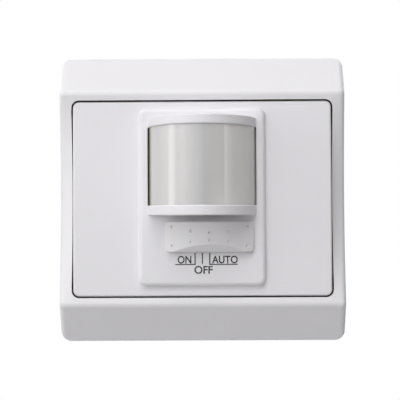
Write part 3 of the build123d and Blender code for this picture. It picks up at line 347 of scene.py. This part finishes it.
# Claw screws and housing screws: turned steel. The thread of each claw screw is rolled into its
# shaft behind the ring, half a millimetre a turn, and carries the claw.
dress(turned_steel, "housing_screws", "claw_screw_left", "claw_screw_right")
thread_middle = 0.00148
thread_ridge = 0.00016
thread_pitch = 0.0005
thread_start = 0.0012
thread_turns = 40
turn_steps = 16
for side, screw_x, screw_z in (("left", -0.024, -0.009), ("right", 0.024, 0.009)):
    bpy.ops.object.select_all(action="DESELECT")
    bpy.ops.mesh.primitive_circle_add(
        vertices=3, radius=thread_ridge,
        location=(thread_middle, 0.0, 0.0), rotation=(math.radians(90), 0.0, 0.0))
    thread = bpy.context.active_object
    thread.name = f"claw_thread_{side}"
    bpy.ops.object.mode_set(mode="EDIT")
    bpy.ops.mesh.select_all(action="SELECT")
    bpy.ops.transform.rotate(
        value=math.radians(-90), orient_axis="Y", center_override=(thread_middle, 0.0, 0.0))
    bpy.ops.object.mode_set(mode="OBJECT")
    bpy.ops.object.transform_apply(location=True, rotation=True, scale=True)
    winding = thread.modifiers.new("winding", "SCREW")
    winding.axis = "Z"
    winding.screw_offset = thread_pitch
    winding.iterations = thread_turns
    winding.steps = turn_steps
    winding.render_steps = turn_steps
    bpy.ops.object.modifier_apply(modifier="winding")
    bpy.ops.object.mode_set(mode="EDIT")
    bpy.ops.mesh.select_all(action="SELECT")
    bpy.ops.mesh.fill_holes(sides=3)
    bpy.ops.mesh.select_all(action="SELECT")
    bpy.ops.mesh.normals_make_consistent(inside=False)
    bpy.ops.object.mode_set(mode="OBJECT")
    thread.rotation_euler = (math.radians(-90), 0.0, 0.0)
    thread.location = (screw_x, thread_start, screw_z)
    bpy.ops.object.transform_apply(location=True, rotation=True, scale=True)
    thread.data.materials.append(turned_steel)
    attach(thread, f"claw_screw_{side}")


# Front carrier and board cover: grey mouldings. The carrier is a tray that the housing screws hold
# on the ring, and the cover lies over the board in it.
grey_mould = moulded("grey_plastic", (0.30, 0.31, 0.32), (0.26, 0.27, 0.28), 0.48, 1100.0)
dress(grey_mould, "front_carrier", "board_cover")


# Detector: a drawn nickel can on three leads and a stand-off, with a dark filter over its ceramic
# element. The daylight sensor beside it has the same dark face.
bright_can = plated("can_metal", (0.66, 0.65, 0.63), (0.58, 0.57, 0.55), 0.24)
dress(bright_can, "pir_header", "pir_can")
dress(tinned, "pir_leads")
dress(cup_white, "pir_spacer")
pale_ceramic = moulded("sensor_ceramic", (0.76, 0.74, 0.68), (0.70, 0.68, 0.62), 0.4, 1300.0)
dress(pale_ceramic, "pir_element")
dark_filter = moulded("filter_glass", (0.03, 0.022, 0.03), (0.045, 0.03, 0.04), 0.14, 700.0, coat=0.6)
dress(dark_filter, "pir_window", "light_sensor")


# Slide switch: a folded sheet case over a black base with tinned pins, a black lever and a brass
# contact that slides on the pins.
dress(bright_can, "switch_case")
dress(black_mould, "switch_base", "switch_lever")
dress(tinned, "switch_pins")
dress(stamped_brass, "switch_wiper")


# Trimmers for time and light level: blue bases with white cross-slotted rotors, soldered to the
# sensor board.
trimmer_blue = moulded("trimmer_plastic", (0.035, 0.085, 0.33), (0.03, 0.07, 0.28), 0.42, 1300.0)
dress(trimmer_blue, "time_trimmer_base", "lux_trimmer_base")
rotor_white = moulded("rotor_plastic", (0.76, 0.76, 0.73), (0.70, 0.70, 0.67), 0.42, 1300.0)
dress(rotor_white, "time_trimmer_rotor", "lux_trimmer_rotor")


# Outer frame: a satin white moulding that lies on the wall and holds the centre plate in its
# opening. The walls of the joint between them carry painted shade, near black.
opening_half_width = 0.03590
opening_half_height = 0.02712
joint_shade_middle = -0.0073
joint_shade_reach = 0.0018


# Mask for the painted shade on the walls of the joint.
def opening_walls(finish):
    """One on the walls of the opening in front of the lip, nought elsewhere."""
    share = 1.0
    for side, middle, reach in (
            ("X", 0.0, opening_half_width), ("Z", 0.0, opening_half_height), ("Y", joint_shade_middle, joint_shade_reach)):
        place = finish.node("ShaderNodeSeparateXYZ", {}, {"Vector": finish.place()}, out=side)
        share = share * finish.near(place, middle, reach)
    return share


frame_white = moulded("frame_plastic", (0.865, 0.855, 0.875), (0.84, 0.83, 0.85), 0.46, coat=0.06,
                      painted_joint_shade=opening_walls)
dress(frame_white, "outer_frame")


# Lens: milky moulded polyethylene, thin enough to let light through, its inner side cut in
# upright grooves. Its colour carries painted light and shade: two streaks and the end segment are
# painted highlights, the middle is painted darker and the right part lighter, the clear margins at its
# straight sides are painted dark as painted shade, and painted light lies at the foot of its right part.
lens_half_width = 0.015
lens_half_height = 0.0112
lens_middle = 0.0087
off, faint, on = (0.0, 0.0, 0.0, 1.0), (0.4, 0.4, 0.4, 1.0), (1.0, 1.0, 1.0, 1.0)
milk = Finish("lens_plastic")
haze = milk.grain(70.0, 3.0)
across = milk.node("ShaderNodeSeparateXYZ", {}, {"Vector": milk.place()}, out="X")
height = milk.node("ShaderNodeSeparateXYZ", {}, {"Vector": milk.place()}, out="Z") - lens_middle
lens_share = 0.5 + across * (0.5 / lens_half_width)
# Painted shade: the clear margins at both sides are coloured dark olive, the right one faintly.
margin_painted_shade = milk.node("ShaderNodeValToRGB", {"stops": (
    (0.020, on), (0.050, off), (0.965, off), (0.985, faint))}, {"Fac": lens_share})
# Painted highlights: two upright streaks and the end segment are lightened in the colour.
left_painted_highlight = milk.node("ShaderNodeValToRGB", {"stops": (
    (0.196, off), (0.222, on), (0.246, on), (0.280, off))}, {"Fac": lens_share})
right_painted_highlight = milk.node("ShaderNodeValToRGB", {"stops": (
    (0.690, off), (0.705, on), (0.780, off))}, {"Fac": lens_share})
end_painted_highlight = milk.node("ShaderNodeValToRGB", {"stops": (
    (0.890, off), (0.905, on), (0.965, on))}, {"Fac": lens_share})
grooves = milk.node("ShaderNodeTexWave", {"wave_type": "BANDS", "bands_direction": "X"}, {
    "Vector": milk.place(), "Scale": 190.0, "Distortion": 0.0})
rows = milk.node("ShaderNodeTexWave", {"wave_type": "BANDS", "bands_direction": "Z"}, {
    "Vector": milk.place(), "Scale": 28.0, "Distortion": 1.2})
# Painted shade and light: the colour darkens in the middle and lightens towards the right end.
milk_with_painted_shading = milk.node("ShaderNodeValToRGB", {"stops": (
    (0.05, (0.78, 0.77, 0.74, 1.0)),
    (0.33, (0.77, 0.76, 0.75, 1.0)),
    (0.52, (0.62, 0.62, 0.62, 1.0)),
    (0.74, (0.84, 0.82, 0.795, 1.0)),
    (0.92, (1.00, 0.970, 0.925, 1.0)),
)}, {"Fac": lens_share})
# Painted light: lighter colour at the foot of the right part of the lens.
foot_painted_light_mask = milk.node("ShaderNodeValToRGB", {"stops": (
    (0.08, on), (0.34, off))}, {"Fac": 0.5 + height * (0.5 / lens_half_height)})
right_painted_light_mask = milk.node("ShaderNodeValToRGB", {"stops": (
    (0.56, off), (0.70, on))}, {"Fac": lens_share})
with_painted_highlights = milk.tint(left_painted_highlight + right_painted_highlight + 0.7 * end_painted_highlight, milk_with_painted_shading, (1.0, 0.975, 0.955, 1.0))
with_painted_foot_light = milk.tint(0.5 * foot_painted_light_mask * right_painted_light_mask, with_painted_highlights, (1.0, 0.985, 0.95, 1.0))
cloudy = milk.tint(0.10 * haze, with_painted_foot_light, (0.60, 0.59, 0.57, 1.0))
lens_milk = milk.surface(
    Base_Color=milk.tint(margin_painted_shade, cloudy, (0.155, 0.148, 0.085, 1.0)),
    Roughness=0.22 + 0.05 * haze,
    Transmission_Weight=0.10,
    Subsurface_Weight=0.30,
    Subsurface_Radius=(1.0, 1.0, 1.0),
    Subsurface_Scale=0.002,
    Normal=milk.bump(0.5 * grooves + 0.3 * rows, 0.08, 0.00003),
    IOR=1.5,
)
dress(lens_milk, "fresnel_lens")


# Lens retainer: a flat grey frame, moulded, in the hollow of the block. It holds the feet of the
# lens and shows as a line beside it.
dress(grey_mould, "lens_retainer")


# Centre plate: one white moulding with the raised block, brow and chin, clipped to the carrier.
plate_white = moulded("plate_plastic", (0.86, 0.85, 0.875), (0.835, 0.825, 0.85), 0.44, coat=0.06)
dress(plate_white, "centre_plate")


# Mode slider: the same white, moulded a little glossier, and snapped through the plate.
slider_white = moulded("slider_plastic", (0.83, 0.82, 0.835), (0.80, 0.79, 0.805), 0.34, coat=0.1)
dress(slider_white, "mode_slider")


# Marks of the mode slider: ON, OFF and AUTO with a tick for each position, printed in dark grey
# on the block below the pad.
mark_height = 0.01070
mark_film = 0.00002
mark_swell = 0.00006
word_size = 0.003
word_foot, word_top = -0.01770, -0.01560
tick_half_width = 0.00016
tick_step = 0.0020
tick_foot, tick_top = -0.01780, -0.01480
line_foot = -0.01808
line_inner = 0.00184
ink = Finish("mark_ink")
worn = ink.grain(1500.0)
mark_ink = ink.surface(
    Base_Color=ink.tint(worn, (0.008, 0.008, 0.010, 1.0), (0.018, 0.018, 0.020, 1.0)),
    Roughness=0.5 + 0.1 * worn,
)


def print_on_block(mark):
    """Inks a mark and lets it move with the plate."""
    mark.data.materials.append(mark_ink)
    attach(mark, "switch_body")


def printed_word(name, word, left, right, bottom, top):
    """A word printed between two sides and two heights on the block."""
    bpy.ops.object.select_all(action="DESELECT")
    bpy.ops.object.text_add(location=(0.0, 0.0, 0.0))
    text = bpy.context.active_object
    text.data.body = word
    text.data.size = word_size
    text.data.extrude = mark_film / 2
    text.data.offset = mark_swell
    bpy.ops.object.convert(target="MESH")
    text.name = name
    corners = [vertex.co.copy() for vertex in text.data.vertices]
    low_x, high_x = min(c.x for c in corners), max(c.x for c in corners)
    low_y, high_y = min(c.y for c in corners), max(c.y for c in corners)
    for vertex in text.data.vertices:
        across_word = (vertex.co.x - low_x) / (high_x - low_x)
        up_word = (vertex.co.y - low_y) / (high_y - low_y)
        out = mark_height + mark_film / 2 + vertex.co.z
        vertex.co = (left + across_word * (right - left), -out, bottom + up_word * (top - bottom))
    print_on_block(text)


def printed_bar(name, left, right, bottom, top):
    """A straight printed stroke: a tick or an underline, with its corners eased."""
    bpy.ops.object.select_all(action="DESELECT")
    bpy.ops.mesh.primitive_cube_add(size=1.0, location=(0.0, 0.0, 0.0))
    bar = bpy.context.active_object
    bar.name = name
    bpy.ops.object.mode_set(mode="EDIT")
    bpy.ops.mesh.select_all(action="SELECT")
    bpy.ops.transform.resize(value=(right - left, mark_film, top - bottom))
    bpy.ops.transform.translate(value=((left + right) / 2, -mark_height - mark_film / 2, (bottom + top) / 2))
    bpy.ops.mesh.bevel(offset=mark_film / 4, segments=1, affect="EDGES")
    bpy.ops.object.mode_set(mode="OBJECT")
    print_on_block(bar)


printed_word("mark_on", "ON", -0.00675, -0.00300, word_foot, word_top)
printed_word("mark_auto", "AUTO", 0.00260, 0.00960, word_foot, word_top)
printed_word("mark_off", "OFF", -0.00220, 0.00275, -0.02050, -0.01835)
for tick, tick_x in enumerate((-tick_step, 0.0, tick_step), start=1):
    printed_bar(f"mark_tick_{tick}", tick_x - tick_half_width, tick_x + tick_half_width, tick_foot, tick_top)
printed_bar("mark_line_on", -0.0074, -line_inner, line_foot, tick_foot)
printed_bar("mark_line_auto", line_inner, 0.0096, line_foot, tick_foot)
